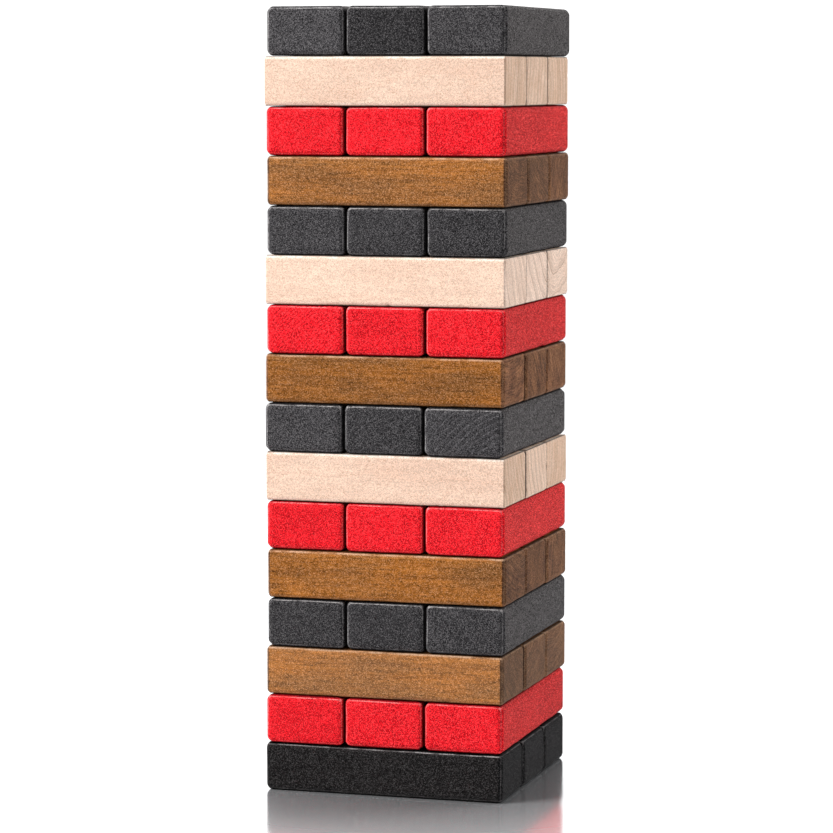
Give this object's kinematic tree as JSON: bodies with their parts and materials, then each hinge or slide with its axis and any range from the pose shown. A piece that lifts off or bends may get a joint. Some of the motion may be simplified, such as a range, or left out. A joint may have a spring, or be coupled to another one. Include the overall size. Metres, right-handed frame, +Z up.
{
  "type": "giant tumbling tower",
  "caption": "Free-standing tower of rounded wooden blocks laid side by side in crossed levels, bare, stained and painted; every block can be pushed out along its length.",
  "frame": {"origin": "on the ground under the middle of the tower", "axes": "+Z up; the blocks of odd levels run along X and those of even levels along Y"},
  "size_m": [0.1944, 0.1928, 0.6063],
  "materials": {
    "natural_wood": "bare sanded hardwood, satin",
    "brown_stained_wood": "brown stain, satin",
    "red_painted_wood": "thin red paint, satin",
    "black_painted_wood": "thin black paint, satin"
  },
  "bodies": {
    "level_01_front_block": {"level_01_front_block": "black_painted_wood"},
    "level_01_middle_block": {"level_01_middle_block": "black_painted_wood"},
    "level_01_back_block": {"level_01_back_block": "black_painted_wood"},
    "level_02_left_block": {"level_02_left_block": "red_painted_wood"},
    "level_02_middle_block": {"level_02_middle_block": "red_painted_wood"},
    "level_02_right_block": {"level_02_right_block": "red_painted_wood"},
    "level_03_front_block": {"level_03_front_block": "brown_stained_wood"},
    "level_03_middle_block": {"level_03_middle_block": "brown_stained_wood"},
    "level_03_back_block": {"level_03_back_block": "brown_stained_wood"},
    "level_04_left_block": {"level_04_left_block": "black_painted_wood"},
    "level_04_middle_block": {"level_04_middle_block": "black_painted_wood"},
    "level_04_right_block": {"level_04_right_block": "black_painted_wood"},
    "level_05_front_block": {"level_05_front_block": "brown_stained_wood"},
    "level_05_middle_block": {"level_05_middle_block": "brown_stained_wood"},
    "level_05_back_block": {"level_05_back_block": "brown_stained_wood"},
    "level_06_left_block": {"level_06_left_block": "red_painted_wood"},
    "level_06_middle_block": {"level_06_middle_block": "red_painted_wood"},
    "level_06_right_block": {"level_06_right_block": "red_painted_wood"},
    "level_07_front_block": {"level_07_front_block": "natural_wood"},
    "level_07_middle_block": {"level_07_middle_block": "natural_wood"},
    "level_07_back_block": {"level_07_back_block": "natural_wood"},
    "level_08_left_block": {"level_08_left_block": "black_painted_wood"},
    "level_08_middle_block": {"level_08_middle_block": "black_painted_wood"},
    "level_08_right_block": {"level_08_right_block": "black_painted_wood"},
    "level_09_front_block": {"level_09_front_block": "brown_stained_wood"},
    "level_09_middle_block": {"level_09_middle_block": "brown_stained_wood"},
    "level_09_back_block": {"level_09_back_block": "brown_stained_wood"},
    "level_10_left_block": {"level_10_left_block": "red_painted_wood"},
    "level_10_middle_block": {"level_10_middle_block": "red_painted_wood"},
    "level_10_right_block": {"level_10_right_block": "red_painted_wood"},
    "level_11_front_block": {"level_11_front_block": "natural_wood"},
    "level_11_middle_block": {"level_11_middle_block": "natural_wood"},
    "level_11_back_block": {"level_11_back_block": "natural_wood"},
    "level_12_left_block": {"level_12_left_block": "black_painted_wood"},
    "level_12_middle_block": {"level_12_middle_block": "black_painted_wood"},
    "level_12_right_block": {"level_12_right_block": "black_painted_wood"},
    "level_13_front_block": {"level_13_front_block": "brown_stained_wood"},
    "level_13_middle_block": {"level_13_middle_block": "brown_stained_wood"},
    "level_13_back_block": {"level_13_back_block": "brown_stained_wood"},
    "level_14_left_block": {"level_14_left_block": "red_painted_wood"},
    "level_14_middle_block": {"level_14_middle_block": "red_painted_wood"},
    "level_14_right_block": {"level_14_right_block": "red_painted_wood"},
    "level_15_front_block": {"level_15_front_block": "natural_wood"},
    "level_15_middle_block": {"level_15_middle_block": "natural_wood"},
    "level_15_back_block": {"level_15_back_block": "natural_wood"},
    "level_16_left_block": {"level_16_left_block": "black_painted_wood"},
    "level_16_middle_block": {"level_16_middle_block": "black_painted_wood"},
    "level_16_right_block": {"level_16_right_block": "black_painted_wood"}
  },
  "joints": [
    {"name": "level_01_front_slide", "type": "slide", "parent": "level_01_middle_block", "child": "level_01_front_block", "axis": [1, 0, 0], "range_m": [-0.2, 0.2]},
    {"name": "level_01_back_slide", "type": "slide", "parent": "level_01_middle_block", "child": "level_01_back_block", "axis": [1, 0, 0], "range_m": [-0.2, 0.2]},
    {"name": "level_02_left_slide", "type": "slide", "parent": "level_01_middle_block", "child": "level_02_left_block", "axis": [-0.0017, 1, 0], "range_m": [-0.2, 0.2]},
    {"name": "level_02_middle_slide", "type": "slide", "parent": "level_01_middle_block", "child": "level_02_middle_block", "axis": [-0.0017, 1, 0], "range_m": [-0.2, 0.2]},
    {"name": "level_02_right_slide", "type": "slide", "parent": "level_01_middle_block", "child": "level_02_right_block", "axis": [-0.0017, 1, 0], "range_m": [-0.2, 0.2]},
    {"name": "level_03_front_slide", "type": "slide", "parent": "level_01_middle_block", "child": "level_03_front_block", "axis": [1, -0.0017, 0], "range_m": [-0.2, 0.2]},
    {"name": "level_03_middle_slide", "type": "slide", "parent": "level_01_middle_block", "child": "level_03_middle_block", "axis": [1, -0.0017, 0], "range_m": [-0.2, 0.2]},
    {"name": "level_03_back_slide", "type": "slide", "parent": "level_01_middle_block", "child": "level_03_back_block", "axis": [1, -0.0017, 0], "range_m": [-0.2, 0.2]},
    {"name": "level_04_left_slide", "type": "slide", "parent": "level_01_middle_block", "child": "level_04_left_block", "axis": [-0.0017, 1, 0], "range_m": [-0.2, 0.2]},
    {"name": "level_04_middle_slide", "type": "slide", "parent": "level_01_middle_block", "child": "level_04_middle_block", "axis": [-0.0017, 1, 0], "range_m": [-0.2, 0.2]},
    {"name": "level_04_right_slide", "type": "slide", "parent": "level_01_middle_block", "child": "level_04_right_block", "axis": [-0.0017, 1, 0], "range_m": [-0.2, 0.2]},
    {"name": "level_05_front_slide", "type": "slide", "parent": "level_01_middle_block", "child": "level_05_front_block", "axis": [1, 0.0035, 0], "range_m": [-0.2, 0.2]},
    {"name": "level_05_middle_slide", "type": "slide", "parent": "level_01_middle_block", "child": "level_05_middle_block", "axis": [1, 0.0035, 0], "range_m": [-0.2, 0.2]},
    {"name": "level_05_back_slide", "type": "slide", "parent": "level_01_middle_block", "child": "level_05_back_block", "axis": [1, 0.0035, 0], "range_m": [-0.2, 0.2]},
    {"name": "level_06_left_slide", "type": "slide", "parent": "level_01_middle_block", "child": "level_06_left_block", "axis": [0.0017, 1, 0], "range_m": [-0.2, 0.2]},
    {"name": "level_06_middle_slide", "type": "slide", "parent": "level_01_middle_block", "child": "level_06_middle_block", "axis": [0.0017, 1, 0], "range_m": [-0.2, 0.2]},
    {"name": "level_06_right_slide", "type": "slide", "parent": "level_01_middle_block", "child": "level_06_right_block", "axis": [0.0017, 1, 0], "range_m": [-0.2, 0.2]},
    {"name": "level_07_front_slide", "type": "slide", "parent": "level_01_middle_block", "child": "level_07_front_block", "axis": [1, 0.0035, 0], "range_m": [-0.2, 0.2]},
    {"name": "level_07_middle_slide", "type": "slide", "parent": "level_01_middle_block", "child": "level_07_middle_block", "axis": [1, 0.0035, 0], "range_m": [-0.2, 0.2]},
    {"name": "level_07_back_slide", "type": "slide", "parent": "level_01_middle_block", "child": "level_07_back_block", "axis": [1, 0.0035, 0], "range_m": [-0.2, 0.2]},
    {"name": "level_08_left_slide", "type": "slide", "parent": "level_01_middle_block", "child": "level_08_left_block", "axis": [0.0035, 1, 0], "range_m": [-0.2, 0.2]},
    {"name": "level_08_middle_slide", "type": "slide", "parent": "level_01_middle_block", "child": "level_08_middle_block", "axis": [0.0035, 1, 0], "range_m": [-0.2, 0.2]},
    {"name": "level_08_right_slide", "type": "slide", "parent": "level_01_middle_block", "child": "level_08_right_block", "axis": [0.0035, 1, 0], "range_m": [-0.2, 0.2]},
    {"name": "level_09_front_slide", "type": "slide", "parent": "level_01_middle_block", "child": "level_09_front_block", "axis": [1, 0, 0], "range_m": [-0.2, 0.2]},
    {"name": "level_09_middle_slide", "type": "slide", "parent": "level_01_middle_block", "child": "level_09_middle_block", "axis": [1, 0, 0], "range_m": [-0.2, 0.2]},
    {"name": "level_09_back_slide", "type": "slide", "parent": "level_01_middle_block", "child": "level_09_back_block", "axis": [1, 0, 0], "range_m": [-0.2, 0.2]},
    {"name": "level_10_left_slide", "type": "slide", "parent": "level_01_middle_block", "child": "level_10_left_block", "axis": [-0.0017, 1, 0], "range_m": [-0.2, 0.2]},
    {"name": "level_10_middle_slide", "type": "slide", "parent": "level_01_middle_block", "child": "level_10_middle_block", "axis": [-0.0017, 1, 0], "range_m": [-0.2, 0.2]},
    {"name": "level_10_right_slide", "type": "slide", "parent": "level_01_middle_block", "child": "level_10_right_block", "axis": [-0.0017, 1, 0], "range_m": [-0.2, 0.2]},
    {"name": "level_11_front_slide", "type": "slide", "parent": "level_01_middle_block", "child": "level_11_front_block", "axis": [1, -0.0017, 0], "range_m": [-0.2, 0.2]},
    {"name": "level_11_middle_slide", "type": "slide", "parent": "level_01_middle_block", "child": "level_11_middle_block", "axis": [1, -0.0017, 0], "range_m": [-0.2, 0.2]},
    {"name": "level_11_back_slide", "type": "slide", "parent": "level_01_middle_block", "child": "level_11_back_block", "axis": [1, -0.0017, 0], "range_m": [-0.2, 0.2]},
    {"name": "level_12_left_slide", "type": "slide", "parent": "level_01_middle_block", "child": "level_12_left_block", "axis": [-0.0035, 1, 0], "range_m": [-0.2, 0.2]},
    {"name": "level_12_middle_slide", "type": "slide", "parent": "level_01_middle_block", "child": "level_12_middle_block", "axis": [-0.0035, 1, 0], "range_m": [-0.2, 0.2]},
    {"name": "level_12_right_slide", "type": "slide", "parent": "level_01_middle_block", "child": "level_12_right_block", "axis": [-0.0035, 1, 0], "range_m": [-0.2, 0.2]},
    {"name": "level_13_front_slide", "type": "slide", "parent": "level_01_middle_block", "child": "level_13_front_block", "axis": [1, 0, 0], "range_m": [-0.2, 0.2]},
    {"name": "level_13_middle_slide", "type": "slide", "parent": "level_01_middle_block", "child": "level_13_middle_block", "axis": [1, 0, 0], "range_m": [-0.2, 0.2]},
    {"name": "level_13_back_slide", "type": "slide", "parent": "level_01_middle_block", "child": "level_13_back_block", "axis": [1, 0, 0], "range_m": [-0.2, 0.2]},
    {"name": "level_14_left_slide", "type": "slide", "parent": "level_01_middle_block", "child": "level_14_left_block", "axis": [0.0035, 1, 0], "range_m": [-0.2, 0.2]},
    {"name": "level_14_middle_slide", "type": "slide", "parent": "level_01_middle_block", "child": "level_14_middle_block", "axis": [0.0035, 1, 0], "range_m": [-0.2, 0.2]},
    {"name": "level_14_right_slide", "type": "slide", "parent": "level_01_middle_block", "child": "level_14_right_block", "axis": [0.0035, 1, 0], "range_m": [-0.2, 0.2]},
    {"name": "level_15_front_slide", "type": "slide", "parent": "level_01_middle_block", "child": "level_15_front_block", "axis": [1, 0.0017, 0], "range_m": [-0.2, 0.2]},
    {"name": "level_15_middle_slide", "type": "slide", "parent": "level_01_middle_block", "child": "level_15_middle_block", "axis": [1, 0.0017, 0], "range_m": [-0.2, 0.2]},
    {"name": "level_15_back_slide", "type": "slide", "parent": "level_01_middle_block", "child": "level_15_back_block", "axis": [1, 0.0017, 0], "range_m": [-0.2, 0.2]},
    {"name": "level_16_left_slide", "type": "slide", "parent": "level_01_middle_block", "child": "level_16_left_block", "axis": [0.0052, 1, 0], "range_m": [-0.2, 0.2]},
    {"name": "level_16_middle_slide", "type": "slide", "parent": "level_01_middle_block", "child": "level_16_middle_block", "axis": [0.0052, 1, 0], "range_m": [-0.2, 0.2]},
    {"name": "level_16_right_slide", "type": "slide", "parent": "level_01_middle_block", "child": "level_16_right_block", "axis": [0.0052, 1, 0], "range_m": [-0.2, 0.2]}
  ]
}
